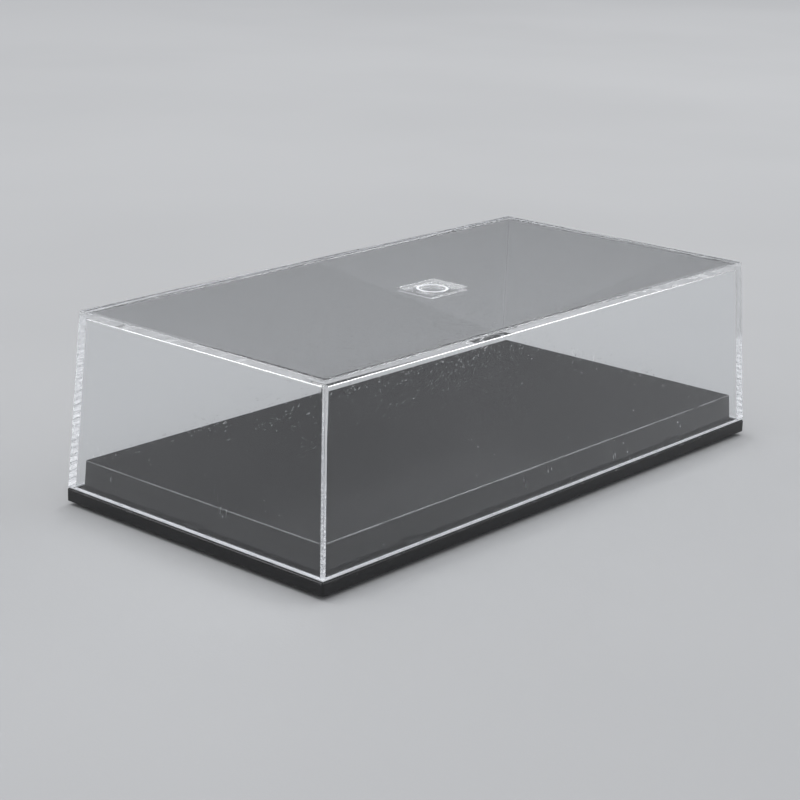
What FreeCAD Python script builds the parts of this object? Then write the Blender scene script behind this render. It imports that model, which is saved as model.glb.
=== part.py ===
import FreeCAD, Part
import math
import os
import Sketcher

# A display case: a clear moulded dust cover that lifts off a black moulded tray on four rubber feet.
# Millimetres and degrees. +X is the long way, +Y the back, +Z up.
# The origin is the middle of the footprint, on the surface that the feet stand on.

SIZES = {
    # Dust cover, measured outside at its open rim
    "cover_length": 240.0,
    "cover_width": 123.0,
    "cover_height": 64.0,
    "cover_draft": 3.3,
    "cover_wall": 2.6,
    "cover_top": 2.7,
    "cover_edge_radius": 0.4,
    "cover_rim_radius": 1.0,
    # Sunk panel near the middle of the top, with a plain raised ring on its floor
    "panel_length": 20.5,
    "panel_width": 16.5,
    "panel_depth": 1.0,
    "panel_slope_run": 0.55,
    "panel_offset_x": -2.4,
    "panel_offset_y": -2.4,
    "ring_diameter": 12.3,
    "ring_width": 1.5,
    "ring_rise": 0.6,
    "ring_edge_radius": 0.3,
    # Tray: a low lip that carries the cover's rim, and a raised deck inside the cover
    "lip_overhang": 0.3,
    "lip_height": 4.5,
    "lip_corner_radius": 0.8,
    "lip_edge_radius": 0.5,
    "deck_rise": 10.6,
    "deck_clearance": 1.9,
    "deck_corner_radius": 0.8,
    "deck_edge_radius": 0.4,
    "deck_thickness": 2.5,
    "tray_wall": 2.4,
    "ledge_thickness": 2.2,
    # Nibs low on the deck's sides that centre the cover
    "nib_length": 6.0,
    "nib_height": 2.4,
    "nib_fit": 0.45,
    "nib_spacing": 150.0,
    # Ribs under the deck, which run through the foot bosses
    "rib_thickness": 1.8,
    "rib_depth": 6.0,
    # Rubber feet, each stuck in a shallow seat under a boss
    "foot_diameter": 12.0,
    "foot_height": 2.1,
    "foot_edge_radius": 0.6,
    "foot_seat": 0.6,
    "foot_fit": 0.2,
    "boss_wall": 1.8,
    "boss_margin": 5.0,
}

SHEET = "sizes"

# Lengths that follow from the driving sizes, as expressions on the sheet
DRAFT_SLOPE = "tan(sizes.cover_draft * 1deg)"
DECK_LENGTH = "(sizes.cover_length - 2 * (sizes.cover_wall + sizes.deck_clearance))"
DECK_WIDTH = "(sizes.cover_width - 2 * (sizes.cover_wall + sizes.deck_clearance))"
DECK = (DECK_LENGTH, DECK_WIDTH)
LIP = ("(sizes.cover_length + 2 * sizes.lip_overhang)", "(sizes.cover_width + 2 * sizes.lip_overhang)")
DECK_UNDERSIDE = "(sizes.lip_height + sizes.deck_rise - sizes.deck_thickness)"
LEDGE_UNDERSIDE = "(sizes.lip_height - sizes.ledge_thickness)"
STAND = "(sizes.foot_height - sizes.foot_seat)"
DECK_DRAFT_RUN = f"(sizes.deck_rise * {DRAFT_SLOPE})"
SEAT_DIAMETER = "(sizes.foot_diameter + 2 * sizes.foot_fit)"
BOSS_DIAMETER = f"({SEAT_DIAMETER} + 2 * sizes.boss_wall)"
BOSS_INSET = f"(sizes.tray_wall + sizes.boss_margin + {BOSS_DIAMETER} / 2)"
BOSS_X = f"({DECK_LENGTH} / 2 - {DECK_DRAFT_RUN} - {BOSS_INSET})"
BOSS_Y = f"({DECK_WIDTH} / 2 - {DECK_DRAFT_RUN} - {BOSS_INSET})"

doc = FreeCAD.newDocument("display_case")


def fill_sheet():
    """Write every driving size to the sheet, with its name as the cell's alias."""
    sheet = doc.addObject("Spreadsheet::Sheet", SHEET)
    for row, (name, value) in enumerate(SIZES.items(), start=1):
        sheet.set(f"A{row}", name)
        sheet.set(f"B{row}", str(value))
        sheet.setAlias(f"B{row}", name)
    doc.recompute()


def new_body(label, height="0"):
    """Start a sub-part whose own floor stands at a height."""
    body = doc.addObject("PartDesign::Body", label)
    body.Label = label
    body.setExpression("Placement.Base.z", height)
    return body


def plane_of(body, role):
    """Find one of a body's own origin planes."""
    return next(item for item in body.Origin.OriginFeatures if item.Role == role)


def new_sketch(body, name, height="0"):
    """Add a sketch on the body's level plane, raised to a height."""
    sketch = body.newObject("Sketcher::SketchObject", name)
    sketch.AttachmentSupport = [(plane_of(body, "XY_Plane"), "")]
    sketch.MapMode = "FlatFace"
    sketch.setExpression("AttachmentOffset.Base.z", height)
    return sketch


def constrain(sketch, rule, expression, *points):
    """Add a dimension to a sketch and bind it to an expression on the sheet."""
    index = sketch.addConstraint(Sketcher.Constraint(rule, *points, 1.0))
    sketch.setExpression(f"Constraints[{index}]", expression)


def add_rectangle(sketch, length, width, centre_x="0", centre_y="0"):
    """Draw a level rectangle with bound sides and a bound centre."""
    corners = [FreeCAD.Vector(x, y, 0) for x, y in ((-1, -1), (1, -1), (1, 1), (-1, 1))]
    first = sketch.GeometryCount
    for start, end in zip(corners, corners[1:] + corners[:1]):
        sketch.addGeometry(Part.LineSegment(start, end))
    bottom, right, top, left = range(first, first + 4)
    for line, following in ((bottom, right), (right, top), (top, left), (left, bottom)):
        sketch.addConstraint(Sketcher.Constraint("Coincident", line, 2, following, 1))
    for line in (bottom, top):
        sketch.addConstraint(Sketcher.Constraint("Horizontal", line))
    for line in (right, left):
        sketch.addConstraint(Sketcher.Constraint("Vertical", line))
    constrain(sketch, "DistanceX", length, bottom, 1, bottom, 2)
    constrain(sketch, "DistanceY", width, right, 1, right, 2)
    constrain(sketch, "DistanceX", f"{centre_x} - {length} / 2", -1, 1, bottom, 1)
    constrain(sketch, "DistanceY", f"{centre_y} - {width} / 2", -1, 1, bottom, 1)


def add_circle(sketch, diameter, centre_x="0", centre_y="0"):
    """Draw a circle with a bound diameter and a bound centre."""
    circle = sketch.addGeometry(Part.Circle(FreeCAD.Vector(), FreeCAD.Vector(0, 0, 1), 1))
    constrain(sketch, "Diameter", diameter, circle)
    constrain(sketch, "DistanceX", centre_x, -1, 1, circle, 3)
    constrain(sketch, "DistanceY", centre_y, -1, 1, circle, 3)


def volume_of(body):
    """Give the volume that a body has so far."""
    return body.Shape.Volume if body.Tip else 0.0


def check_change(body, name, before, adds):
    """Stop if a feature did not add to its body, or did not cut it, as it should."""
    doc.recompute()
    gained = volume_of(body) - before
    if (gained if adds else -gained) <= 0:
        raise RuntimeError(f"{name} did not change {body.Label}")


def extrude(body, kind, name, sketch, length, downward=False):
    """Pad or pocket a sketch along Z, and check that it changed the body."""
    before = volume_of(body)
    feature = body.newObject(f"PartDesign::{kind}", name)
    feature.Profile = sketch
    feature.setExpression("Length", length)
    feature.Reversed = downward if kind == "Pad" else not downward
    check_change(body, name, before, kind == "Pad")


def block(body, kind, name, levels, lower, upper, centre=("0", "0")):
    """Add or cut a block with flat sides between two levels.

    lower and upper are the block's length and width at its two levels, so unequal ones give it a draft.
    The feature's own Z axis points along -Y.
    """
    before = volume_of(body)
    wedge = body.newObject(f"PartDesign::{kind}Wedge", name)
    wedge.AttachmentSupport = [(plane_of(body, "XZ_Plane"), "")]
    wedge.MapMode = "FlatFace"
    for side, sign in (("min", -1), ("max", 1)):
        wedge.setExpression(f"X{side}", f"{centre[0]} + {sign} * {lower[0]} / 2")
        wedge.setExpression(f"Z{side}", f"-({centre[1]}) + {sign} * {lower[1]} / 2")
        wedge.setExpression(f"X2{side}", f"{centre[0]} + {sign} * {upper[0]} / 2")
        wedge.setExpression(f"Z2{side}", f"-({centre[1]}) + {sign} * {upper[1]} / 2")
    wedge.setExpression("Ymin", levels[0])
    wedge.setExpression("Ymax", levels[1])
    check_change(body, name, before, kind == "Additive")


def drafted(outline, rise):
    """Give the length and width that an outline has after rising with the cover's draft."""
    return [f"({size} - 2 * ({rise}) * {DRAFT_SLOPE})" for size in outline]


def inset(outline, distance):
    """Give the length and width of an outline moved in by a distance on every side."""
    return [f"({size} - 2 * ({distance}))" for size in outline]


def fillet_where(body, name, radius, wanted):
    """Round the edges of a body that a test on their ends and middle picks."""
    base = body.Tip
    edges = []
    for index, edge in enumerate(base.Shape.Edges, start=1):
        if wanted(edge):
            edges.append(f"Edge{index}")
    fillet = body.newObject("PartDesign::Fillet", name)
    fillet.Base = (base, edges)
    fillet.setExpression("Radius", radius)
    doc.recompute()


def lies_at(edge, height):
    """Tell whether an edge lies level at a height."""
    box = edge.BoundBox
    return math.isclose(box.ZMin, height, abs_tol=1e-6) and math.isclose(box.ZMax, height, abs_tol=1e-6)


def spans(edge, low, high):
    """Tell whether an edge climbs from one height to another."""
    box = edge.BoundBox
    return math.isclose(box.ZMin, low, abs_tol=1e-6) and math.isclose(box.ZMax, high, abs_tol=1e-6)


def reaches_out(edge, half_length, half_width):
    """Tell whether an edge lies on or outside a centred rectangle's sides."""
    box = edge.BoundBox
    middle = box.Center
    return abs(middle.x) > half_length - 1e-6 or abs(middle.y) > half_width - 1e-6


def make_cover():
    """Make the clear cover: a drafted shell, open below, with a sunk panel in its top."""
    body = new_body("dust_cover", f"{STAND} + sizes.lip_height")
    rim = ("sizes.cover_length", "sizes.cover_width")
    inside = inset(rim, "sizes.cover_wall")
    ceiling = "(sizes.cover_height - sizes.cover_top)"
    block(body, "Additive", "shell", ("0", "sizes.cover_height"), rim, drafted(rim, "sizes.cover_height"))
    block(body, "Subtractive", "inside", ("0", ceiling), inside, drafted(inside, ceiling))

    height = float(SIZES["cover_height"])
    run = height * math.tan(math.radians(SIZES["cover_draft"]))
    half_length = SIZES["cover_length"] / 2
    half_width = SIZES["cover_width"] / 2
    fillet_where(
        body,
        "outer_edges",
        "sizes.cover_edge_radius",
        lambda edge: spans(edge, 0, height)
        or (lies_at(edge, height) and reaches_out(edge, half_length - run, half_width - run)),
    )
    fillet_where(body, "rim_edges", "sizes.cover_rim_radius", lambda edge: lies_at(edge, 0))

    mouth = ("sizes.panel_length", "sizes.panel_width")
    middle = ("sizes.panel_offset_x", "sizes.panel_offset_y")
    floor = "(sizes.cover_height - sizes.panel_depth)"
    block(
        body,
        "Subtractive",
        "panel",
        (floor, "sizes.cover_height"),
        inset(mouth, "sizes.panel_slope_run"),
        mouth,
        middle,
    )
    ring = new_sketch(body, "ring_outline", floor)
    add_circle(ring, "sizes.ring_diameter", *middle)
    add_circle(ring, "sizes.ring_diameter - 2 * sizes.ring_width", *middle)
    extrude(body, "Pad", "ring", ring, "sizes.ring_rise")
    crown = height - SIZES["panel_depth"] + SIZES["ring_rise"]
    fillet_where(body, "ring_edges", "sizes.ring_edge_radius", lambda edge: lies_at(edge, crown))
    return body


def make_tray():
    """Make the black tray: lip, raised deck, hollow ribbed underside and foot bosses."""
    body = new_body("base_tray", STAND)
    deck_top = "(sizes.lip_height + sizes.deck_rise)"
    block(body, "Additive", "lip", ("0", "sizes.lip_height"), LIP, LIP)
    block(body, "Additive", "deck", ("sizes.lip_height", deck_top), DECK, drafted(DECK, "sizes.deck_rise"))

    seat = float(SIZES["lip_height"])
    top = seat + SIZES["deck_rise"]
    fillet_where(body, "lip_corners", "sizes.lip_corner_radius", lambda edge: spans(edge, 0, seat))
    fillet_where(body, "deck_corners", "sizes.deck_corner_radius", lambda edge: spans(edge, seat, top))
    fillet_where(body, "deck_edges", "sizes.deck_edge_radius", lambda edge: lies_at(edge, top))
    half_length = SIZES["cover_length"] / 2 - SIZES["cover_wall"]
    half_width = SIZES["cover_width"] / 2 - SIZES["cover_wall"]
    fillet_where(
        body,
        "lip_edges",
        "sizes.lip_edge_radius",
        lambda edge: lies_at(edge, seat) and reaches_out(edge, half_length, half_width),
    )

    skirt = inset(LIP, "sizes.tray_wall")
    hollow = inset(DECK, "sizes.tray_wall")
    hollow_top = drafted(hollow, "sizes.deck_rise")
    block(body, "Subtractive", "low_hollow", ("0", LEDGE_UNDERSIDE), skirt, skirt)
    block(body, "Subtractive", "high_hollow", (LEDGE_UNDERSIDE, DECK_UNDERSIDE), hollow, hollow_top)

    # Ribs end halfway into the tray's drafted walls
    rib_reach = f"(2 * {DECK_DRAFT_RUN} + sizes.tray_wall)"
    for side, name in ((-1, "front"), (1, "rear")):
        line = new_sketch(body, f"{name}_rib_outline", DECK_UNDERSIDE)
        add_rectangle(line, f"({DECK_LENGTH} - {rib_reach})", "sizes.rib_thickness", "0", f"{side} * {BOSS_Y}")
        extrude(body, "Pad", f"{name}_rib", line, "sizes.rib_depth", downward=True)
    for place, name in ((-1, "left"), (0, "middle"), (1, "right")):
        line = new_sketch(body, f"{name}_rib_outline", DECK_UNDERSIDE)
        add_rectangle(line, "sizes.rib_thickness", f"({DECK_WIDTH} - {rib_reach})", f"{place} * {BOSS_X}")
        extrude(body, "Pad", f"{name}_rib", line, "sizes.rib_depth", downward=True)

    bosses = new_sketch(body, "boss_outlines", DECK_UNDERSIDE)
    seats = new_sketch(body, "foot_seat_outlines")
    for side_x in (-1, 1):
        for side_y in (-1, 1):
            add_circle(bosses, BOSS_DIAMETER, f"{side_x} * {BOSS_X}", f"{side_y} * {BOSS_Y}")
            add_circle(seats, SEAT_DIAMETER, f"{side_x} * {BOSS_X}", f"{side_y} * {BOSS_Y}")
    extrude(body, "Pad", "foot_bosses", bosses, DECK_UNDERSIDE, downward=True)
    extrude(body, "Pocket", "foot_seats", seats, "sizes.foot_seat")

    # Nibs start inside the deck's wall and stop a fit short of the cover
    nibs = new_sketch(body, "nib_outlines", "sizes.lip_height")
    reach = "(sizes.deck_clearance - sizes.nib_fit + sizes.tray_wall / 2)"
    nib_x = f"({DECK_LENGTH} / 2 - sizes.tray_wall / 2 + {reach} / 2)"
    nib_y = f"({DECK_WIDTH} / 2 - sizes.tray_wall / 2 + {reach} / 2)"
    for side in (-1, 1):
        add_rectangle(nibs, reach, "sizes.nib_length", f"{side} * {nib_x}")
        for along in (-1, 1):
            add_rectangle(
                nibs,
                "sizes.nib_length",
                reach,
                f"{along} * sizes.nib_spacing / 2",
                f"{side} * {nib_y}",
            )
    extrude(body, "Pad", "nibs", nibs, "sizes.nib_height")
    return body


def make_foot(label, side_x, side_y):
    """Make one rubber foot, a disc with a rounded lower edge, standing in its seat."""
    body = new_body(label)
    body.setExpression("Placement.Base.x", f"{side_x} * {BOSS_X}")
    body.setExpression("Placement.Base.y", f"{side_y} * {BOSS_Y}")
    outline = new_sketch(body, f"{label}_outline")
    add_circle(outline, "sizes.foot_diameter")
    extrude(body, "Pad", f"{label}_disc", outline, "sizes.foot_height")
    fillet_where(body, f"{label}_edge", "sizes.foot_edge_radius", lambda edge: lies_at(edge, 0))
    return body


def check_and_write(bodies):
    """Stop on any failed object, then write each sub-part's shape to its own file."""
    doc.recompute()
    for item in doc.Objects:
        if "Invalid" in item.State or "Error" in item.State:
            raise RuntimeError(f"{item.Label} failed: {item.State}")
    for body in bodies:
        shape = body.Shape
        if shape.isNull() or not shape.isValid() or len(shape.Solids) != 1:
            raise RuntimeError(f"{body.Label} is not one valid solid")
    os.makedirs("parts", exist_ok=True)
    for body in bodies:
        body.Shape.exportStep(os.path.join("parts", f"{body.Label}.step"))
        box = body.Shape.BoundBox
        print(f"{body.Label}: {box.XLength:.2f} x {box.YLength:.2f} x {box.ZLength:.2f} mm")


fill_sheet()
pieces = [make_cover(), make_tray()]
for depth_name, depth_side in (("front", -1), ("rear", 1)):
    for width_name, width_side in (("left", -1), ("right", 1)):
        pieces.append(make_foot(f"foot_{depth_name}_{width_name}", width_side, depth_side))
check_and_write(pieces)
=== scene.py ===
"""The looks of a display case: a clear moulded cover on a gloss black tray with rubber feet.

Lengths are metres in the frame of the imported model: +X along the long sides, +Y to the back, +Z up.
"""
import logging
import math
from dataclasses import dataclass, field
from enum import Enum
from typing import Any, Iterable, Sequence, Union

import bmesh
import bpy
from mathutils import Matrix, Vector


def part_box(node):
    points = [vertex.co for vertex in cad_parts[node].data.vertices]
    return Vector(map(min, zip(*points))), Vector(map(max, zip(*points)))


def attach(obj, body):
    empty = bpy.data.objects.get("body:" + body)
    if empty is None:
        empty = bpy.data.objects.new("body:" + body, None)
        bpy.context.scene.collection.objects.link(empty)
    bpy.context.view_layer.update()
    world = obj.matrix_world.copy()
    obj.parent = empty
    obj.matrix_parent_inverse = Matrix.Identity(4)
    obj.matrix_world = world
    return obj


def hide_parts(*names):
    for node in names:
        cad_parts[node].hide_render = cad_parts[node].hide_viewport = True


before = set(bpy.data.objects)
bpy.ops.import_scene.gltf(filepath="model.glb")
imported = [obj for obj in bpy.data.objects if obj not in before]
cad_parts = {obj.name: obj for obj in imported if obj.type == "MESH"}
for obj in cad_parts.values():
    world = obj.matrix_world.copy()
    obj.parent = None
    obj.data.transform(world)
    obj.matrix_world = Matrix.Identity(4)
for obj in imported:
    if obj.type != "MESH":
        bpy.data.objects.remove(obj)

LOG = logging.getLogger("display_case")
MM = 0.001
# Light runs along inside the clear walls from edge to edge, turning back many times on the way.
LIGHT_BOUNCES = 80

Colour = tuple[float, float, float, float]
Socket = bpy.types.NodeSocket


class Body(Enum):
    """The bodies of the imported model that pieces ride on."""

    TRAY = "tray"
    COVER = "cover"


class Slot(Enum):
    """The record's material slots."""

    CLEAR = "clear_cover"
    BLACK = "black_tray"
    RUBBER = "rubber_foot"


class Signal:
    """A value in a node tree; arithmetic on it adds Math nodes."""

    def __init__(self, tree: bpy.types.NodeTree, socket: Socket) -> None:
        """Wrap an output socket of a tree."""
        self.tree = tree
        self.socket = socket

    def math(self, operation: str, *values: Union["Signal", float]) -> "Signal":
        """Add a Math node.

        Args:
            operation: the node's operation.
            values: the node's inputs, in order.

        Returns:
            The node's result.
        """
        node = self.tree.nodes.new("ShaderNodeMath")
        node.operation = operation
        for index, value in enumerate(values):
            if isinstance(value, Signal):
                self.tree.links.new(value.socket, node.inputs[index])
            else:
                node.inputs[index].default_value = value
        return Signal(self.tree, node.outputs[0])

    def __add__(self, other: Union["Signal", float]) -> "Signal":
        """Add."""
        return self.math("ADD", self, other)

    __radd__ = __add__

    def __sub__(self, other: Union["Signal", float]) -> "Signal":
        """Subtract."""
        return self.math("SUBTRACT", self, other)

    def __rsub__(self, other: float) -> "Signal":
        """Subtract this from a number."""
        return self.math("SUBTRACT", other, self)

    def __mul__(self, other: Union["Signal", float]) -> "Signal":
        """Multiply."""
        return self.math("MULTIPLY", self, other)

    __rmul__ = __mul__

    def step(self, low: float, high: float) -> "Signal":
        """Rise smoothly from 0 to 1, or fall from 1 to 0.

        Args:
            low: where the result is 0.
            high: where the result is 1; below low, the result falls.

        Returns:
            The smoothed step.
        """
        node = self.tree.nodes.new("ShaderNodeMapRange")
        node.interpolation_type = "SMOOTHSTEP"
        self.tree.links.new(self.socket, node.inputs["Value"])
        rising = low < high
        node.inputs["From Min"].default_value = low if rising else high
        node.inputs["From Max"].default_value = high if rising else low
        node.inputs["To Min"].default_value = 0.0 if rising else 1.0
        node.inputs["To Max"].default_value = 1.0 if rising else 0.0
        return Signal(self.tree, node.outputs["Result"])

    def most(self, other: Union["Signal", float]) -> "Signal":
        """Take the greater of two values."""
        return self.math("MAXIMUM", self, other)

    def size(self) -> "Signal":
        """Take the value without its sign."""
        return self.math("ABSOLUTE", self)


class Graph:
    """A node tree under construction."""

    def __init__(self, tree: bpy.types.NodeTree) -> None:
        """Start from an empty tree."""
        self.tree = tree
        self.tree.nodes.clear()

    def node(self, kind: str, settings: dict[str, Any] | None = None, **sockets: Any) -> bpy.types.Node:
        """Add a node.

        Args:
            kind: the node's type.
            settings: properties of the node, set first.
            sockets: values or links of its inputs, by name with underscores for spaces.

        Returns:
            The new node.
        """
        node = self.tree.nodes.new(kind)
        for key, value in (settings or {}).items():
            setattr(node, key, value)
        for key, value in sockets.items():
            self.feed(node, key.replace("_", " "), value)
        return node

    def feed(self, node: bpy.types.Node, name: Union[str, int], value: Any) -> None:
        """Set or link one input of a node.

        Args:
            node: the node.
            name: the input's name or number.
            value: a plain value, a signal or an output socket.
        """
        socket = node.inputs[name]
        if isinstance(value, Signal):
            self.tree.links.new(value.socket, socket)
        elif isinstance(value, Socket):
            self.tree.links.new(value, socket)
        else:
            socket.default_value = value

    def signal(self, socket: Socket) -> Signal:
        """Wrap an output so that it takes part in arithmetic."""
        return Signal(self.tree, socket)

    def place(self) -> Socket:
        """Give the point being shaded, in the piece's own coordinates."""
        return self.node("ShaderNodeTexCoord").outputs["Object"]

    def parts(self, vector: Socket) -> tuple[Signal, Signal, Signal]:
        """Split a vector into its three values."""
        split = self.node("ShaderNodeSeparateXYZ", Vector=vector)
        return tuple(self.signal(split.outputs[axis]) for axis in "XYZ")

    def noise(
        self,
        vector: Socket,
        scale: float,
        detail: float = 2.0,
        stretch: Sequence[float] = (1.0, 1.0, 1.0),
        turn: Sequence[float] = (0.0, 0.0, 0.0),
        shift: Sequence[float] = (0.0, 0.0, 0.0),
    ) -> Signal:
        """Add noise, stretched and turned.

        Args:
            vector: the coordinates.
            scale: cells per metre before stretching.
            detail: octaves of finer noise.
            stretch: factors on the coordinates along each axis.
            turn: turn of the pattern about each axis, in radians.
            shift: offset that makes one pattern differ from another.

        Returns:
            The noise, about 0 to 1.
        """
        turned = self.node("ShaderNodeMapping", Vector=vector, Rotation=turn, Location=shift)
        mapped = self.node("ShaderNodeMapping", Vector=turned.outputs[0], Scale=stretch)
        texture = self.node("ShaderNodeTexNoise", Vector=mapped.outputs[0], Scale=scale, Detail=detail)
        return self.signal(texture.outputs[0])

    def specks(self, vector: Socket, scale: float, radius: float, share: float) -> Signal:
        """Add scattered round specks.

        Args:
            vector: the coordinates.
            scale: cells per metre, one possible speck in each.
            radius: a speck's radius as a share of a cell.
            share: how many cells hold a speck, from 0 to 1.

        Returns:
            1 in a speck and 0 elsewhere.
        """
        cells = self.node("ShaderNodeTexVoronoi", Vector=vector, Scale=scale)
        spread = self.signal(cells.outputs["Distance"]).step(radius, 0.5 * radius)
        pick = self.node("ShaderNodeSeparateColor", Color=cells.outputs["Color"])
        kept = self.signal(pick.outputs[0]).step(share + 0.01, share)
        return spread * kept

    def mix(self, factor: Union[Signal, float], first: Any, second: Any) -> Socket:
        """Mix two colours.

        Args:
            factor: 0 gives the first colour and 1 the second.
            first: a colour or a link.
            second: a colour or a link.

        Returns:
            The mixed colour.
        """
        node = self.node("ShaderNodeMix", {"data_type": "RGBA"})
        self.feed(node, 0, factor)
        self.feed(node, 6, first)
        self.feed(node, 7, second)
        return node.outputs[2]

    def bump(self, height: Signal, distance: float, under: Socket | None = None) -> Socket:
        """Turn a height into a normal.

        Args:
            height: 0 low to 1 high.
            distance: the height of 1, in metres.
            under: a normal to build on.

        Returns:
            The normal.
        """
        node = self.node("ShaderNodeBump", Height=height, Distance=distance, Strength=1.0)
        if under is not None:
            self.feed(node, "Normal", under)
        return node.outputs[0]


@dataclass(frozen=True)
class Finish:
    """A surface finish; its make method gives its material."""

    name: str

    def start(self) -> tuple[bpy.types.Material, Graph]:
        """Start the material.

        Returns:
            The material, and its graph with nothing in it.
        """
        material = bpy.data.materials.new(self.name)
        material.use_nodes = True
        return material, Graph(material.node_tree)

    def close(self, graph: Graph, surface: Socket) -> None:
        """Join a surface to the material's output."""
        graph.node("ShaderNodeOutputMaterial", Surface=surface)


@dataclass(frozen=True)
class ClearPlastic(Finish):
    """Clear moulded plastic, handled: smudges, hairlines, dust and rub marks low on the walls."""

    colour: Colour = (0.985, 0.992, 0.998, 1.0)
    index: float = 1.49
    polish: float = 0.003
    smudge_roughness: float = 0.03
    scratch_roughness: float = 0.4
    shadow_tint: Colour = (0.95, 0.955, 0.96, 1.0)
    rub_top: float = 30.0 * MM
    rub_fade: float = 14.0 * MM
    flow_height: float = 0.012 * MM
    scratch_depth: float = 0.02 * MM

    def rubs(self, graph: Graph, place: Socket) -> Signal:
        """Draw the upright rub marks low on the walls.

        Args:
            graph: the material's graph.
            place: the point being shaded.

        Returns:
            The marks, 0 to 1.
        """
        _, _, up = graph.parts(place)
        low_band = up.step(self.rub_top, self.rub_top - self.rub_fade)
        patches = graph.noise(place, 38.0, 2.0, shift=(0.3, 0.1, 0.7)).step(0.50, 0.66)
        fine = graph.noise(place, 60.0, 2.0, stretch=(34.0, 34.0, 1.9)).step(0.63, 0.72)
        coarse = graph.noise(place, 60.0, 2.0, stretch=(12.0, 12.0, 1.2), shift=(0.2, 0.6, 0.3))
        return fine.most(coarse.step(0.68, 0.72)) * patches * low_band

    def marks(self, graph: Graph, place: Socket) -> Signal:
        """Draw the scratches, rub marks and dust.

        Args:
            graph: the material's graph.
            place: the point being shaded.

        Returns:
            The marks, 0 to 1.
        """
        hairs = graph.noise(place, 30.0, 1.0, stretch=(1.0, 40.0, 40.0), turn=(0.4, 0.3, 0.6))
        cross = graph.noise(place, 30.0, 1.0, stretch=(40.0, 1.0, 40.0), turn=(0.2, 0.5, -0.4))
        scratches = (hairs.step(0.73, 0.76) * 0.5).most(cross.step(0.73, 0.76) * 0.5)
        dust = graph.specks(place, 420.0, 0.06, 0.14).most(graph.specks(place, 150.0, 0.035, 0.18))
        return scratches.most(self.rubs(graph, place) * 0.75).most(dust)

    def make(self) -> bpy.types.Material:
        """Build the material.

        Returns:
            Glass-like plastic, which lets lamps shine through it.
        """
        material, graph = self.start()
        place = graph.place()
        smudges = graph.noise(place, 26.0, 3.0).step(0.58, 0.76)
        marks = self.marks(graph, place)
        rough = smudges * self.smudge_roughness + marks * self.scratch_roughness + self.polish
        flow = graph.noise(place, 16.0, 1.0, shift=(0.9, 0.2, 0.4))
        normal = graph.bump(flow, self.flow_height)
        normal = graph.bump(marks, -self.scratch_depth, normal)
        glass = graph.node(
            "ShaderNodeBsdfPrincipled",
            Base_Color=self.colour,
            Roughness=rough,
            IOR=self.index,
            Transmission_Weight=1.0,
            Normal=normal,
        )
        veil = graph.node("ShaderNodeBsdfTransparent", Color=self.shadow_tint)
        path = graph.node("ShaderNodeLightPath")
        both = graph.node("ShaderNodeMixShader")
        graph.feed(both, 0, path.outputs["Is Shadow Ray"])
        graph.feed(both, 1, glass.outputs[0])
        graph.feed(both, 2, veil.outputs[0])
        self.close(graph, both.outputs[0])
        return material


@dataclass(frozen=True)
class FrostedPlastic(Finish):
    """The same plastic where it is rubbed or etched: it scatters the light that reaches it."""

    colour: Colour = (0.92, 0.93, 0.95, 1.0)
    rubbed_colour: Colour = (0.78, 0.79, 0.81, 1.0)
    index: float = 1.49
    roughness: float = 0.45
    grain_height: float = 0.01 * MM

    def make(self) -> bpy.types.Material:
        """Build the material.

        Returns:
            Satin white with a fine grain.
        """
        material, graph = self.start()
        place = graph.place()
        rubbed = graph.noise(place, 240.0, 3.0).step(0.46, 0.70)
        grain = graph.noise(place, 5200.0, 2.0)
        shader = graph.node(
            "ShaderNodeBsdfPrincipled",
            Base_Color=graph.mix(rubbed, self.colour, self.rubbed_colour),
            Roughness=rubbed * 0.2 + grain * 0.1 + self.roughness,
            IOR=self.index,
            Normal=graph.bump(grain, self.grain_height),
        )
        self.close(graph, shader.outputs[0])
        return material


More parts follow.
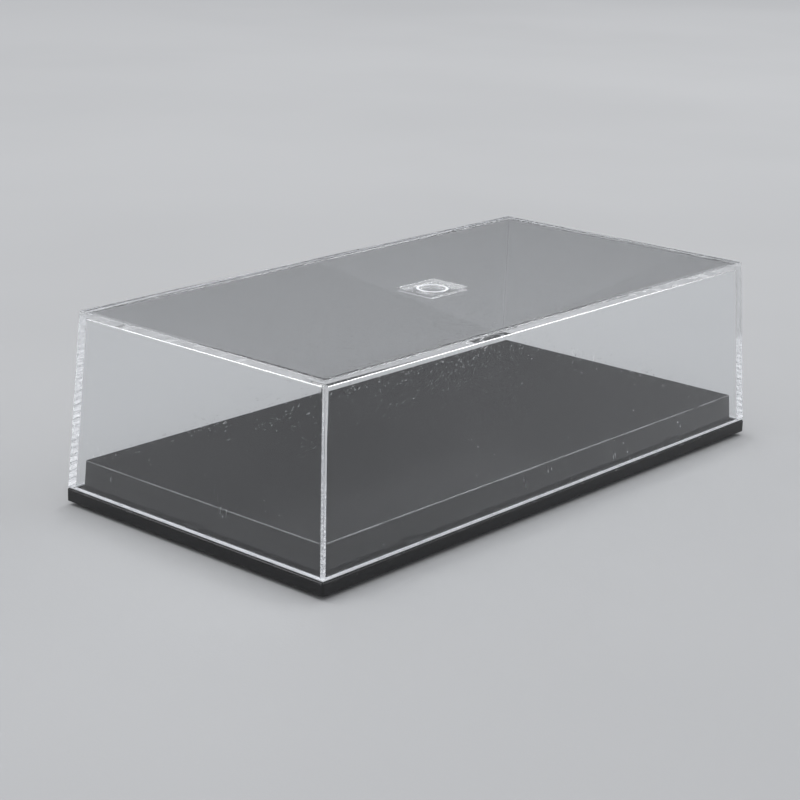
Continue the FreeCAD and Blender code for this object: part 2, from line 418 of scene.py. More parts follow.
@dataclass(frozen=True)
class GlossBlack(Finish):
    """Gloss black moulded plastic: deep colour, wiping marks, a little dust, worn lip edges and a painted
    highlight along the deck's top edge.
    """

    colour: Colour = (0.0055, 0.0055, 0.0060, 1.0)
    worn_colour: Colour = (0.035, 0.035, 0.037, 1.0)
    # Painted highlight: the pale colour of the line along the deck's top edge, standing in for light that
    # the rounded edge catches.
    edge_highlight_colour: Colour = (0.13, 0.13, 0.135, 1.0)
    dust_colour: Colour = (0.22, 0.22, 0.215, 1.0)
    index: float = 1.50
    polish: float = 0.16
    wear_roughness: float = 0.22
    flow_height: float = 0.008 * MM
    mote_height: float = 0.06 * MM
    lip_level: float = 0.0
    deck_level: float = 0.0
    deck_half_length: float = 0.0
    deck_half_width: float = 0.0

    def deck_edge(self, graph: Graph, place: Socket) -> Signal:
        """Find where a highlight is painted along the deck's rounded top edge.

        Args:
            graph: the material's graph.
            place: the point being shaded.

        Returns:
            1 along the edge, in stretches, and 0 elsewhere.
        """
        x, y, up = graph.parts(place)
        outward = (x.size() - self.deck_half_length).most(y.size() - self.deck_half_width)
        high = up.step(self.deck_level - 0.5 * MM, self.deck_level - 0.2 * MM)
        stretches = graph.noise(place, 90.0, 3.0).step(0.20, 0.62)
        return outward.step(-0.35 * MM, -0.15 * MM) * high * stretches

    def lip_edge(self, graph: Graph, place: Socket) -> Signal:
        """Find the worn edge of the lip.

        Args:
            graph: the material's graph.
            place: the point being shaded.

        Returns:
            1 along the edge, in stretches, and 0 elsewhere.
        """
        _, _, up = graph.parts(place)
        near = (up - self.lip_level).size().step(0.6 * MM, 0.2 * MM)
        return near * graph.noise(place, 160.0, 3.0).step(0.45, 0.75)

    def wiping(self, graph: Graph, place: Socket) -> Signal:
        """Draw the marks of wiping, in two directions.

        Args:
            graph: the material's graph.
            place: the point being shaded.

        Returns:
            The marks, 0 to 1.
        """
        along = graph.noise(place, 28.0, 2.0, stretch=(1.0, 22.0, 22.0), turn=(0.0, 0.0, 0.35))
        cross = graph.noise(place, 26.0, 2.0, stretch=(1.0, 24.0, 24.0), turn=(0.0, 0.0, -0.9))
        return along.step(0.62, 0.74).most(cross.step(0.66, 0.76))

    def make(self) -> bpy.types.Material:
        """Build the material.

        Returns:
            Gloss black, duller where it is wiped, worn or dusty, with a painted highlight along the deck's
            top edge.
        """
        material, graph = self.start()
        place = graph.place()
        cloudy = graph.noise(place, 22.0, 4.0).step(0.42, 0.78)
        motes = graph.specks(place, 420.0, 0.06, 0.10).most(graph.specks(place, 130.0, 0.03, 0.12))
        worn = self.lip_edge(graph, place)
        colour = graph.mix(worn, self.colour, self.worn_colour)
        # Painted highlight: a pale line along the deck's top edge, put into the colour whatever the light.
        colour = graph.mix(self.deck_edge(graph, place), colour, self.edge_highlight_colour)
        colour = graph.mix(motes * 0.7, colour, self.dust_colour)
        roughness = cloudy * 0.03 + self.wiping(graph, place) * 0.05
        roughness = roughness + worn * self.wear_roughness + motes * 0.5 + self.polish
        flow = graph.noise(place, 14.0, 1.0, shift=(0.5, 0.7, 0.1))
        normal = graph.bump(flow, self.flow_height)
        normal = graph.bump(motes, self.mote_height, normal)
        shader = graph.node(
            "ShaderNodeBsdfPrincipled",
            Base_Color=colour,
            Roughness=roughness,
            IOR=self.index,
            Normal=normal,
        )
        self.close(graph, shader.outputs[0])
        return material


@dataclass(frozen=True)
class FootRubber(Finish):
    """Matt black rubber with a fine grain and dust on it."""

    colour: Colour = (0.020, 0.020, 0.020, 1.0)
    dusty_colour: Colour = (0.085, 0.082, 0.078, 1.0)
    roughness: float = 0.62
    grain_height: float = 0.05 * MM

    def make(self) -> bpy.types.Material:
        """Build the material.

        Returns:
            Dull black, greyer where dust sticks to it.
        """
        material, graph = self.start()
        place = graph.place()
        grain = graph.noise(place, 2600.0, 3.0)
        dusty = graph.noise(place, 320.0, 4.0).step(0.48, 0.72)
        shader = graph.node(
            "ShaderNodeBsdfPrincipled",
            Base_Color=graph.mix(dusty * 0.6, self.colour, self.dusty_colour),
            Roughness=grain * 0.2 + dusty * 0.1 + self.roughness,
            Normal=graph.bump(grain, self.grain_height),
        )
        self.close(graph, shader.outputs[0])
        return material


@dataclass(frozen=True)
class PaleFloor(Finish):
    """Plain pale paper for the studio floor."""

    colour: Colour = (0.44, 0.442, 0.445, 1.0)
    shade_colour: Colour = (0.42, 0.422, 0.425, 1.0)
    roughness: float = 0.9
    grain_height: float = 0.04 * MM

    def make(self) -> bpy.types.Material:
        """Build the material.

        Returns:
            Dull pale grey with a slight change of tone.
        """
        material, graph = self.start()
        place = graph.place()
        tone = graph.noise(place, 3.0, 3.0).step(0.3, 0.7)
        shader = graph.node(
            "ShaderNodeBsdfPrincipled",
            Base_Color=graph.mix(tone, self.colour, self.shade_colour),
            Roughness=self.roughness,
            Normal=graph.bump(graph.noise(place, 900.0, 2.0), self.grain_height),
        )
        self.close(graph, shader.outputs[0])
        return material


@dataclass(frozen=True)
class Ring:
    """A level rounded rectangle, one loop of a lofted shell."""

    half_length: float
    half_width: float
    corner: float
    level: float
    middle_x: float = 0.0
    middle_y: float = 0.0

    def points(self, segments: int) -> list[Vector]:
        """Give the loop's points, the same number for every ring.

        Args:
            segments: how many chords each rounded corner has.

        Returns:
            The points, anticlockwise seen from above.
        """
        corner = min(self.corner, self.half_length, self.half_width)
        points = []
        for quarter, (side_x, side_y) in enumerate(((1, 1), (-1, 1), (-1, -1), (1, -1))):
            middle_x = self.middle_x + side_x * (self.half_length - corner)
            middle_y = self.middle_y + side_y * (self.half_width - corner)
            for step in range(segments + 1):
                angle = (quarter + step / segments) * math.pi / 2
                x = middle_x + corner * math.cos(angle)
                y = middle_y + corner * math.sin(angle)
                points.append(Vector((x, y, self.level)))
        return points

    def moved(self, inward: float, level: float) -> "Ring":
        """Give the same loop moved inward all round and set at another level.

        Args:
            inward: how far each side moves toward the middle.
            level: the new loop's height.

        Returns:
            The new loop.
        """
        return Ring(
            self.half_length - inward,
            self.half_width - inward,
            max(self.corner - inward, 0.02 * MM),
            level,
            self.middle_x,
            self.middle_y,
        )

    def toward(self, target: "Ring") -> tuple[float, float]:
        """Give the direction from this loop to another one.

        Args:
            target: the other loop.

        Returns:
            A step of length 1, as an inward distance and a rise.
        """
        inward = self.half_length - target.half_length
        rise = target.level - self.level
        length = math.hypot(inward, rise)
        return inward / length, rise / length


def rounded(before: Ring, edge: Ring, after: Ring, radius: float, chords: int = 5) -> list[Ring]:
    """Round the edge between two faces of a loft.

    Args:
        before: a loop on the first face.
        edge: the sharp loop where the faces meet.
        after: a loop on the second face.
        radius: how far from the edge, along each face, the rounding starts.
        chords: how many facets the rounding has.

    Returns:
        The loops that stand in for the sharp one.
    """
    first = edge.toward(before)
    second = edge.toward(after)
    loops = []
    for index in range(chords + 1):
        t = index / chords
        weight_first = radius * (1 - t) ** 2
        weight_second = radius * t ** 2
        inward = weight_first * first[0] + weight_second * second[0]
        rise = weight_first * first[1] + weight_second * second[1]
        loops.append(edge.moved(inward, edge.level + rise))
    return loops


def loft(name: str, rings: Iterable[Ring], segments: int) -> bpy.types.Object:
    """Skin a stack of loops into one closed shell with both ends capped.

    Args:
        name: the new object's name.
        rings: the loops, in order along the surface.
        segments: chords in each rounded corner.

    Returns:
        The new object, with its faces pointing outward.
    """
    shell = bmesh.new()
    loops = [[shell.verts.new(point) for point in ring.points(segments)] for ring in rings]
    count = len(loops[0])
    shell.faces.new(loops[0])
    for lower, upper in zip(loops, loops[1:]):
        for index in range(count):
            following = (index + 1) % count
            shell.faces.new((lower[index], upper[index], upper[following], lower[following]))
    shell.faces.new(list(reversed(loops[-1])))
    bmesh.ops.recalc_face_normals(shell, faces=shell.faces[:])
    mesh = bpy.data.meshes.new(name)
    shell.to_mesh(mesh)
    shell.free()
    piece = bpy.data.objects.new(name, mesh)
    bpy.context.scene.collection.objects.link(piece)
    return piece


def freeze(piece: bpy.types.Object) -> None:
    """Turn a piece and its modifiers into a plain mesh.

    Args:
        piece: the object, whose modifiers are used and removed.
    """
    graph = bpy.context.evaluated_depsgraph_get()
    mesh = bpy.data.meshes.new_from_object(piece.evaluated_get(graph))
    mesh.name = piece.name
    piece.modifiers.clear()
    piece.data = mesh


def smooth(piece: bpy.types.Object, crease: float = math.radians(35.0)) -> None:
    """Shade a piece smooth, keeping its flats flat and its creases sharp.

    Args:
        piece: the object.
        crease: the angle between faces from which an edge stays sharp.
    """
    piece.data.shade_smooth()
    piece.data.set_sharp_from_angle(angle=crease)
    weigh = piece.modifiers.new("flat_faces_first", "WEIGHTED_NORMAL")
    weigh.keep_sharp = True
    weigh.weight = 90
    freeze(piece)


def dress(
    piece: bpy.types.Object,
    material: bpy.types.Material,
    body: Body,
    slot: Slot,
    nodes: Sequence[str],
) -> None:
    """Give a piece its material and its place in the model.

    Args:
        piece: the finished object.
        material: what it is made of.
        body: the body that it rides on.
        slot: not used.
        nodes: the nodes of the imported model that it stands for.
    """
    piece.data.materials.clear()
    piece.data.materials.append(material)
    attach(piece, body.value)
    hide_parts(*nodes)
    LOG.info("%s: %d faces on %s", piece.name, len(piece.data.polygons), body.value)


class Growth:
    """A Geometry Nodes tree with named inputs, run once on a piece."""

    KINDS = {float: "NodeSocketFloat", bpy.types.Material: "NodeSocketMaterial"}

    def __init__(self, name: str, values: dict[str, Any]) -> None:
        """Make the tree and its inputs.

        Args:
            name: the tree's name.
            values: what each named input is set to, the material among them.
        """
        self.name = name
        self.values = values
        self.tree = bpy.data.node_groups.new(name, "GeometryNodeTree")
        self.graph = Graph(self.tree)
        face = self.tree.interface
        face.new_socket("Geometry", in_out="INPUT", socket_type="NodeSocketGeometry")
        for label, value in values.items():
            face.new_socket(label, in_out="INPUT", socket_type=self.KINDS[type(value)])
        face.new_socket("Geometry", in_out="OUTPUT", socket_type="NodeSocketGeometry")
        self.source = self.graph.node("NodeGroupInput")

    def value(self, label: str) -> Signal:
        """Give a named input, ready for arithmetic."""
        return self.graph.signal(self.source.outputs[label])

    def shape(self) -> Socket:
        """Give the piece's own mesh."""
        return self.source.outputs["Geometry"]

    def vector(self, x: Any = 0.0, y: Any = 0.0, z: Any = 0.0) -> Socket:
        """Join three values into a vector."""
        return self.graph.node("ShaderNodeCombineXYZ", X=x, Y=y, Z=z).outputs[0]

    def row(self, count: int, first: Socket, last: Socket) -> Socket:
        """Set points evenly on a line.

        Args:
            count: how many points.
            first: where the line starts.
            last: where it ends.

        Returns:
            The points.
        """
        ends = {"Start_Location": first, "Offset": last}
        line = self.graph.node("GeometryNodeMeshLine", {"mode": "END_POINTS"}, Count=count, **ends)
        return line.outputs[0]

    def grid(self, columns: int, rows: int, length: Signal, width: Signal, level: Any) -> Socket:
        """Set points on a level grid about the middle.

        Args:
            columns: how many points along X.
            rows: how many along Y.
            length: the grid's size along X.
            width: its size along Y.
            level: its height.

        Returns:
            The points.
        """
        flat = self.graph.node(
            "GeometryNodeMeshGrid", Size_X=length, Size_Y=width, Vertices_X=columns, Vertices_Y=rows
        )
        lift = self.vector(z=level)
        raised = self.graph.node("GeometryNodeTransform", Geometry=flat.outputs[0], Translation=lift)
        return raised.outputs[0]

    def block(self, x: Any, y: Any, z: Any) -> Socket:
        """Make a block of the given size."""
        return self.graph.node("GeometryNodeMeshCube", Size=self.vector(x, y, z)).outputs[0]

    def drum(self, radius: Any, depth: Any, sides: int = 64) -> Socket:
        """Make an upright drum."""
        node = self.graph.node("GeometryNodeMeshCylinder", Vertices=sides, Radius=radius, Depth=depth)
        return node.outputs[0]

    def copies(self, points: Socket, shape: Socket) -> Socket:
        """Set a copy of a shape on every point, as real geometry."""
        set_out = self.graph.node("GeometryNodeInstanceOnPoints", Points=points, Instance=shape)
        return self.graph.node("GeometryNodeRealizeInstances", Geometry=set_out.outputs[0]).outputs[0]

    def joined(self, shapes: Sequence[Socket]) -> Socket:
        """Join shapes into one solid.

        Args:
            shapes: closed shapes that may run into each other.

        Returns:
            Their union.
        """
        node = self.graph.node("GeometryNodeMeshBoolean", {"operation": "UNION", "solver": "EXACT"})
        node.inputs["Self Intersection"].default_value = True
        for shape in shapes:
            self.tree.links.new(shape, node.inputs["Mesh 2"])
        return node.outputs[0]

    def cut(self, solid: Socket, shapes: Sequence[Socket]) -> Socket:
        """Cut shapes out of a solid.

        Args:
            solid: the shape that stays.
            shapes: the shapes that are taken from it.

        Returns:
            What is left of the solid.
        """
        node = self.graph.node("GeometryNodeMeshBoolean", {"operation": "DIFFERENCE", "solver": "EXACT"})
        self.tree.links.new(solid, node.inputs["Mesh 1"])
        for shape in shapes:
            self.tree.links.new(shape, node.inputs["Mesh 2"])
        return node.outputs[0]

    def run(self, piece: bpy.types.Object, result: Socket) -> None:
        """Close the tree, run it on a piece and keep the result as the piece's mesh.

        Args:
            piece: the object.
            result: the geometry that the tree gives.
        """
        real = self.graph.node("GeometryNodeRealizeInstances", Geometry=result)
        dressed = self.graph.node(
            "GeometryNodeSetMaterial", Geometry=real.outputs[0], Material=self.source.outputs["Material"]
        )
        self.graph.node("NodeGroupOutput", Geometry=dressed.outputs[0])
        modifier = piece.modifiers.new(self.name, "NODES")
        modifier.node_group = self.tree
        for item in self.tree.interface.items_tree:
            if item.in_out == "INPUT" and item.name in self.values:
                modifier[item.identifier] = self.values[item.name]
        freeze(piece)


@dataclass(frozen=True)
class CaseSizes:
    """Names and sizes that the cover and the tray share."""

    cover_node: str = "dust_cover"
    tray_node: str = "base_tray"
    draft: float = math.radians(3.3)
    cover_wall: float = 2.6 * MM
    lip_overhang: float = 0.3 * MM

    def slope(self) -> float:
        """Give how far a drafted wall leans in for each unit of height."""
        return math.tan(self.draft)

    def seat(self) -> float:
        """Give the height of the ledge that the cover stands on."""
        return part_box(self.cover_node)[0][2]


@dataclass
class DustCover:
    """The clear cover: a drafted shell, open below, with a sunk panel in its top."""

    case: CaseSizes = CaseSizes()
    top: float = 2.7 * MM
    edge_radius: float = 0.25 * MM
    inner_corner: float = 0.3 * MM
    ceiling_radius: float = 0.7 * MM
    rim_radius: float = 1.0 * MM
    rim_chords: int = 8
    rim_rub: float = 0.7 * MM
    panel_half_length: float = 10.25 * MM
    panel_half_width: float = 8.25 * MM
    panel_depth: float = 1.0 * MM
    panel_run: float = 0.55 * MM
    panel_edge: float = 0.18 * MM
    mouth_corner: float = 0.4 * MM
    floor_corner: float = 0.3 * MM
    panel_x: float = -2.4 * MM
    panel_y: float = -2.4 * MM
    ring_radius: float = 6.15 * MM
    ring_width: float = 1.5 * MM
    ring_rise: float = 0.6 * MM
    ring_edge: float = 0.35 * MM
    ring_root: float = 0.12 * MM
    corner_segments: int = 8

    def circle(self, radius: float, level: float) -> Ring:
        """Give a round loop about the middle of the panel."""
        return Ring(radius, radius, radius, level, self.panel_x, self.panel_y)

    def panel(self, top_level: float) -> list[Ring]:
        """List the loops of the sunk panel, from inside its raised ring out to its mouth.

        Args:
            top_level: the height of the cover's top.

        Returns:
            The loops, the last one the panel's sharp mouth.
        """
        low = top_level - self.panel_depth
        high = low + self.ring_rise
        inner = self.ring_radius - self.ring_width
        middle = self.circle(0.4 * inner, low)
        inner_foot = self.circle(inner, low)
        inner_edge = self.circle(inner, high)
        outer_edge = self.circle(self.ring_radius, high)
        outer_foot = self.circle(self.ring_radius, low)
        mouth = Ring(
            self.panel_half_length,
            self.panel_half_width,
            self.mouth_corner,
            top_level,
            self.panel_x,
            self.panel_y,
        )
        floor = Ring(
            self.panel_half_length - self.panel_run,
            self.panel_half_width - self.panel_run,
            self.floor_corner,
            low,
            self.panel_x,
            self.panel_y,
        )
        loops = [middle]
        loops += rounded(middle, inner_foot, inner_edge, self.ring_root)
        loops += rounded(inner_foot, inner_edge, outer_edge, self.ring_edge)
        loops += rounded(inner_edge, outer_edge, outer_foot, self.ring_edge)
        loops += rounded(outer_edge, outer_foot, floor, self.ring_root)
        loops += rounded(outer_foot, floor, mouth, self.panel_edge)
        return loops + [mouth]

    def rings(self) -> list[Ring]:
        """List the loops of the shell.

        Returns:
            The loops, from the panel over the top, down outside and up inside.
        """
        case = self.case
        low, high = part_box(case.cover_node)
        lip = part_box(case.tray_node)[1]
        height = high[2] - low[2]
        rim = Ring(lip[0] - case.lip_overhang, lip[1] - case.lip_overhang, self.edge_radius, low[2])
        run = height * case.slope()
        crown = Ring(rim.half_length - run, rim.half_width - run, self.edge_radius, high[2])
        inner_rim = Ring(
            rim.half_length - case.cover_wall, rim.half_width - case.cover_wall, self.inner_corner, low[2]
        )
        rise = height - self.top
        ceiling = Ring(
            inner_rim.half_length - rise * case.slope(),
            inner_rim.half_width - rise * case.slope(),
            self.inner_corner,
            low[2] + rise,
        )
        ceiling_middle = ceiling.moved(0.5 * ceiling.half_width, ceiling.level)
        loops = self.panel(high[2])
        floor, mouth = loops[-2], loops.pop()
        loops += rounded(floor, mouth, crown, self.panel_edge)
        loops += rounded(mouth, crown, rim, self.edge_radius)
        loops += rounded(crown, rim, inner_rim, self.rim_radius, self.rim_chords)
        loops += rounded(rim, inner_rim, ceiling, self.rim_radius, self.rim_chords)
        loops += rounded(inner_rim, ceiling, ceiling_middle, self.ceiling_radius)
        return loops + [ceiling_middle]

    def frost(self, cover: bpy.types.Object) -> None:
        """Frost the face that the cover stands on and the crown of the raised ring.

        Args:
            cover: the finished cover.
        """
        low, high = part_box(self.case.cover_node)
        rim_top = low[2] + self.rim_rub
        crown = high[2] - self.panel_depth + self.ring_rise - 0.02 * MM
        middle = Vector((self.panel_x, self.panel_y))
        cover.data.materials.append(FrostedPlastic("frosted_plastic").make())
        for face in cover.data.polygons:
            on_ring = (face.center.xy - middle).length < self.ring_radius and face.center.z > crown
            if face.center.z < rim_top or on_ring:
                face.material_index = 1

    def build(self) -> bpy.types.Object:
        """Make and dress the cover.

        Returns:
            The cover.
        """
        cover = loft("clear_cover", self.rings(), self.corner_segments)
        smooth(cover)
        material = ClearPlastic("clear_plastic").make()
        dress(cover, material, Body.COVER, Slot.CLEAR, (self.case.cover_node,))
        self.frost(cover)
        return cover


@dataclass
class BaseTray:
    """The black tray: a low lip round a raised deck, hollow and ribbed underneath."""

    case: CaseSizes = CaseSizes()
    foot_node: str = "foot_rear_right"
    clearance: float = 1.9 * MM
    wall: float = 2.4 * MM
    deck: float = 2.5 * MM
    ledge: float = 2.2 * MM
    lip_corner: float = 0.8 * MM
    lip_edge: float = 0.5 * MM
    lip_under_edge: float = 0.25 * MM
    deck_edge: float = 0.4 * MM
    deck_root: float = 0.2 * MM
    edge_chords: int = 6
    rib_thickness: float = 1.8 * MM
    rib_depth: float = 6.0 * MM
    rib_inset: float = 1.5 * MM
    boss_wall: float = 1.8 * MM
    foot_fit: float = 0.2 * MM
    foot_seat: float = 0.6 * MM
    nib_length: float = 6.0 * MM
    nib_height: float = 2.4 * MM
    nib_fit: float = 0.45 * MM
    nib_spacing: float = 150.0 * MM
    mark_radius: float = 3.0 * MM
    mark_depth: float = 0.2 * MM
    # How far a rib, boss or nib reaches into the shell, so that the two join.
    bury: float = 1.0 * MM
    corner_segments: int = 8

    def inset(self) -> float:
        """Give how far the foot of the deck stands in from the lip."""
        return self.case.lip_overhang + self.case.cover_wall + self.clearance

    def rings(self) -> list[Ring]:
        """List the loops of the shell.

        Returns:
            The loops, from the deck out over the lip and back up underneath.
        """
        low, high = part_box(self.case.tray_node)
        seat = self.case.seat()
        lean = (high[2] - seat) * self.case.slope()
        foot = Ring(high[0] - self.inset(), high[1] - self.inset(), self.lip_corner, seat)
        brow = Ring(foot.half_length - lean, foot.half_width - lean, self.lip_corner, high[2])
        middle = brow.moved(0.5 * brow.half_width, high[2])
        lip_top = Ring(high[0], high[1], self.lip_corner, seat)
        lip_low = Ring(high[0], high[1], self.lip_corner, low[2])
        skirt_low = lip_low.moved(self.wall, low[2])
        skirt_top = skirt_low.moved(0.0, seat - self.ledge)
        throat = foot.moved(self.wall, seat - self.ledge)
        under = throat.moved(lean, high[2] - self.deck)
        under_middle = under.moved(0.5 * under.half_width, under.level)
        loops = [middle]
        loops += rounded(middle, brow, foot, self.deck_edge, self.edge_chords)
        loops += rounded(brow, foot, lip_top, self.deck_root)
        loops += rounded(foot, lip_top, lip_low, self.lip_edge)
        loops += rounded(lip_top, lip_low, skirt_low, self.lip_under_edge)
        loops += [skirt_low, skirt_top, throat, under, under_middle]
        return loops

    def growth(self, material: bpy.types.Material) -> Growth:
        """Start the tree that makes the tray's details.

        Args:
            material: what the tray is made of.

        Returns:
            The tree, with the sizes that the details take from the frame as its inputs.
        """
        low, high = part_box(self.case.tray_node)
        foot_low, foot_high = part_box(self.foot_node)
        return Growth(
            "tray_details",
            {
                "Material": material,
                "Foot X": 0.5 * (foot_low[0] + foot_high[0]),
                "Foot Y": 0.5 * (foot_low[1] + foot_high[1]),
                "Foot radius": 0.5 * (foot_high[0] - foot_low[0]),
                "Half length": high[0] - self.inset(),
                "Half width": high[1] - self.inset(),
                "Under level": high[2] - self.deck,
                "Low level": low[2],
                "Seat level": self.case.seat(),
                "Rib": self.rib_thickness,
                "Rib depth": self.rib_depth,
                "Nib length": self.nib_length,
                "Nib height": self.nib_height,
                "Nib reach": self.clearance - self.nib_fit,
                "Nib span": 0.5 * self.nib_spacing,
            },
        )

    def ribs(self, growth: Growth) -> tuple[Socket, Socket]:
        """Make the ribs under the deck.

        Args:
            growth: the tree.

        Returns:
            The ribs along X and the ribs along Y.
        """
        value = growth.value
        foot_x, foot_y = value("Foot X"), value("Foot Y")
        level = value("Under level") - value("Rib depth") * 0.5 + 0.5 * self.bury
        tall = value("Rib depth") + self.bury
        inset = 2.0 * self.rib_inset
        front, back = growth.vector(0.0, foot_y * -1.0, level), growth.vector(0.0, foot_y, level)
        long_rib = growth.block(value("Half length") * 2.0 - inset, value("Rib"), tall)
        left, right = growth.vector(foot_x * -1.0, 0.0, level), growth.vector(foot_x, 0.0, level)
        cross_rib = growth.block(value("Rib"), value("Half width") * 2.0 - inset, tall)
        return (
            growth.copies(growth.row(2, front, back), long_rib),
            growth.copies(growth.row(3, left, right), cross_rib),
        )

    def bosses(self, growth: Growth) -> tuple[Socket, Socket]:
        """Make the bosses over the feet and the seats to cut in them.

        Args:
            growth: the tree.

        Returns:
            The bosses and the seats.
        """
        value = growth.value
        length, width = value("Foot X") * 2.0, value("Foot Y") * 2.0
        tall = value("Under level") - value("Low level") + self.bury
        level = value("Low level") + tall * 0.5
        radius = value("Foot radius") + self.foot_fit
        boss = growth.drum(radius + self.boss_wall, tall)
        seat = growth.drum(radius, 2.0 * self.foot_seat)
        return (
            growth.copies(growth.grid(2, 2, length, width, level), boss),
            growth.copies(growth.grid(2, 2, length, width, value("Low level")), seat),
        )

    def nibs(self, growth: Growth) -> tuple[Socket, Socket]:
        """Make the nibs on the deck's sides that keep the cover in line.

        Args:
            growth: the tree.

        Returns:
            The nibs on the long sides and the nibs on the ends.
        """
        value = growth.value
        level = value("Seat level") + value("Nib height") * 0.5 - 0.5 * self.bury
        deep = value("Nib reach") * 2.0
        tall = value("Nib height") + self.bury
        sides = growth.grid(2, 2, value("Nib span") * 2.0, value("Half width") * 2.0, level)
        end = value("Half length")
        ends = growth.row(2, growth.vector(end * -1.0, 0.0, level), growth.vector(end, 0.0, level))
        return (
            growth.copies(sides, growth.block(value("Nib length"), deep, tall)),
            growth.copies(ends, growth.block(deep, value("Nib length"), tall)),
        )

    def marks(self, growth: Growth) -> Socket:
        """Make the shallow marks that ejector pins leave under the deck.

        Args:
            growth: the tree.

        Returns:
            The discs to cut.
        """
        value = growth.value
        points = growth.grid(4, 2, value("Foot X") * 1.5, value("Foot Y"), value("Under level"))
        return growth.copies(points, growth.drum(self.mark_radius, 2.0 * self.mark_depth))

    def build(self) -> bpy.types.Object:
        """Make and dress the tray.

        Returns:
            The tray.
        """
        rings = self.rings()
        # The loop halfway round the deck's rounded edge, after the one in the middle of the deck.
        brow = rings[1 + self.edge_chords // 2]
        material = GlossBlack(
            "gloss_black",
            lip_level=self.case.seat(),
            deck_level=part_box(self.case.tray_node)[1][2],
            deck_half_length=brow.half_length,
            deck_half_width=brow.half_width,
        ).make()
        tray = loft("gloss_tray", rings, self.corner_segments)
        growth = self.growth(material)
        bosses, seats = self.bosses(growth)
        solid = growth.joined((growth.shape(), *self.ribs(growth), bosses, *self.nibs(growth)))
        growth.run(tray, growth.cut(solid, (seats, self.marks(growth))))
        smooth(tray)
        dress(tray, material, Body.TRAY, Slot.BLACK, (self.case.tray_node,))
        return tray


@dataclass
class Feet:
    """The four rubber feet, one moulding set in each corner boss."""

    nodes: tuple[str, ...] = ("foot_front_left", "foot_front_right", "foot_rear_left", "foot_rear_right")
    edge: float = 0.6 * MM
    back_edge: float = 0.2 * MM
    bulge: float = 0.12 * MM
    dish: float = 0.12 * MM
    corner_segments: int = 12

    def rings(self) -> list[Ring]:
        """List the loops of one foot about the origin.

        Returns:
            The loops, from its dished sole up to its flat back.
        """
        low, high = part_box(self.nodes[0])
        radius = 0.5 * (high[0] - low[0])
        sole = Ring(radius, radius, radius, low[2])
        back = Ring(radius - self.bulge, radius - self.bulge, radius - self.bulge, high[2])
        back_middle = back.moved(0.5 * radius, high[2])
        dish_edge = sole.moved(0.45 * radius, low[2])
        dish_floor = sole.moved(0.58 * radius, low[2] + self.dish)
        dish_middle = dish_floor.moved(0.3 * radius, low[2] + self.dish)
        loops = [dish_middle]
        loops += rounded(dish_middle, dish_floor, dish_edge, self.dish)
        loops += rounded(dish_floor, dish_edge, sole, self.dish)
        loops += rounded(dish_edge, sole, back, self.edge)
        loops += rounded(sole, back, back_middle, self.back_edge)
        return loops + [back_middle]

    def build(self) -> bpy.types.Object:
        """Make and dress the feet.

        Returns:
            The feet, as one piece.
        """
        material = FootRubber("foot_rubber").make()
        low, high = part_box(self.nodes[-1])
        feet = loft("rubber_feet", self.rings(), self.corner_segments)
        growth = Growth(
            "feet_at_corners",
            {"Material": material, "Foot X": 0.5 * (low[0] + high[0]), "Foot Y": 0.5 * (low[1] + high[1])},
        )
        points = growth.grid(2, 2, growth.value("Foot X") * 2.0, growth.value("Foot Y") * 2.0, 0.0)
        growth.run(feet, growth.copies(points, growth.shape()))
        smooth(feet)
        dress(feet, material, Body.TRAY, Slot.RUBBER, self.nodes)
        return feet


@dataclass(frozen=True)
class Lamp:
    """A soft rectangular lamp that faces the case."""

    name: str
    place: tuple[float, float, float]
    aim: tuple[float, float, float] = (0.0, 0.0, 0.03)
    width: float = 0.7
    height: float = 0.6
    power: float = 8.0

    def hang(self) -> None:
        """Add the lamp to the scene."""
        light = bpy.data.lights.new(self.name, "AREA")
        light.shape = "RECTANGLE"
        light.size = self.width
        light.size_y = self.height
        light.energy = self.power
        lamp = bpy.data.objects.new(self.name, light)
        direction = Vector(self.aim) - Vector(self.place)
        lamp.location = self.place
        lamp.rotation_euler = direction.to_track_quat("-Z", "Y").to_euler()
        bpy.context.scene.collection.objects.link(lamp)


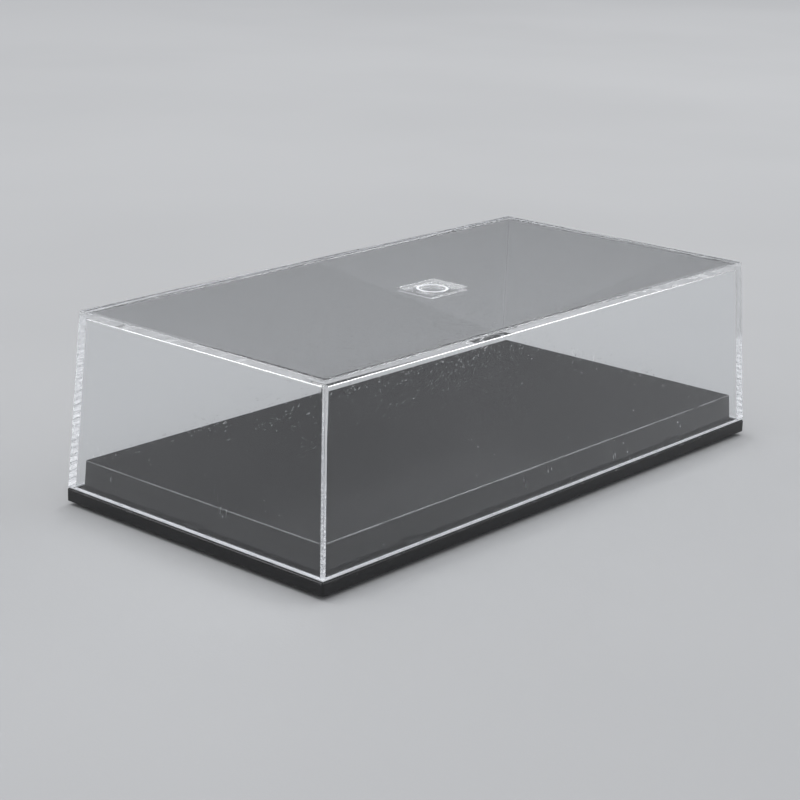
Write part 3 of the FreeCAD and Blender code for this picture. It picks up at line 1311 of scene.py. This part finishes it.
@dataclass
class Studio:
    """The pale floor, the lamps, the world and the camera."""

    floor_radius: float = 6.0
    lamps: tuple[Lamp, ...] = (
        Lamp("left_lamp", (-0.55, 1.35, 1.65)),
        Lamp("right_lamp", (1.55, 0.35, 1.45)),
    )
    camera_place: Vector = field(default_factory=lambda: Vector((-0.53993, -0.45975, 0.24362)))
    camera_forward: Vector = field(default_factory=lambda: Vector((0.71864, 0.63044, -0.29343)))
    camera_right: Vector = field(default_factory=lambda: Vector((0.66485, -0.74658, 0.02425)))
    lens: float = 90.39
    sensor: float = 36.0
    flag_side: tuple[float, float] = (0.752, 0.659)
    flag_colour: Colour = (0.040, 0.041, 0.043, 1.0)
    side_colour: Colour = (0.70, 0.71, 0.73, 1.0)
    dome_colour: Colour = (1.10, 1.12, 1.16, 1.0)

    def floor(self) -> None:
        """Make the floor, a disc."""
        disc = bmesh.new()
        bmesh.ops.create_circle(disc, cap_ends=True, segments=96, radius=self.floor_radius)
        mesh = bpy.data.meshes.new("floor")
        disc.to_mesh(mesh)
        disc.free()
        mesh.materials.append(PaleFloor("pale_floor").make())
        floor = bpy.data.objects.new("floor", mesh)
        bpy.context.scene.collection.objects.link(floor)

    def world(self) -> None:
        """Light the surroundings: a bright dome over pale sides, with a dark flag low behind the case."""
        world = bpy.data.worlds.new("studio")
        bpy.context.scene.world = world
        world.use_nodes = True
        graph = Graph(world.node_tree)
        direction = graph.node("ShaderNodeTexCoord").outputs["Generated"]
        x, y, up = graph.parts(direction)
        behind = (x * self.flag_side[0] + y * self.flag_side[1]).step(0.45, 0.80)
        sides = graph.mix(up.step(0.00, 0.14) * behind, self.side_colour, self.flag_colour)
        colour = graph.mix(up.step(0.42, 0.64), sides, self.dome_colour)
        background = graph.node("ShaderNodeBackground", Color=colour, Strength=1.0)
        graph.node("ShaderNodeOutputWorld", Surface=background.outputs[0])

    def camera(self) -> None:
        """Set the camera at the photograph's viewing angle."""
        data = bpy.data.cameras.new("camera")
        data.lens = self.lens
        data.sensor_width = self.sensor
        camera = bpy.data.objects.new("camera", data)
        back = -self.camera_forward.normalized()
        right = (self.camera_right - self.camera_right.dot(back) * back).normalized()
        up = back.cross(right)
        turn = Matrix((right, up, back)).transposed().to_4x4()
        camera.matrix_world = Matrix.Translation(self.camera_place) @ turn
        bpy.context.scene.collection.objects.link(camera)
        bpy.context.scene.camera = camera

    def settings(self) -> None:
        """Set the plain view transform, and let light bounce often enough for the clear walls."""
        scene = bpy.context.scene
        scene.view_settings.view_transform = "Standard"
        scene.cycles.max_bounces = LIGHT_BOUNCES
        scene.cycles.transmission_bounces = LIGHT_BOUNCES
        scene.cycles.glossy_bounces = LIGHT_BOUNCES
        scene.cycles.transparent_max_bounces = LIGHT_BOUNCES

    def build(self) -> None:
        """Set up the whole studio."""
        self.settings()
        self.floor()
        self.world()
        self.camera()
        for lamp in self.lamps:
            lamp.hang()


def main() -> None:
    """Build the case and its studio."""
    logging.basicConfig(level=logging.INFO, format="%(name)s %(message)s")
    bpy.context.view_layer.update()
    Studio().build()
    DustCover().build()
    BaseTray().build()
    Feet().build()


if __name__ == "__main__":
    main()
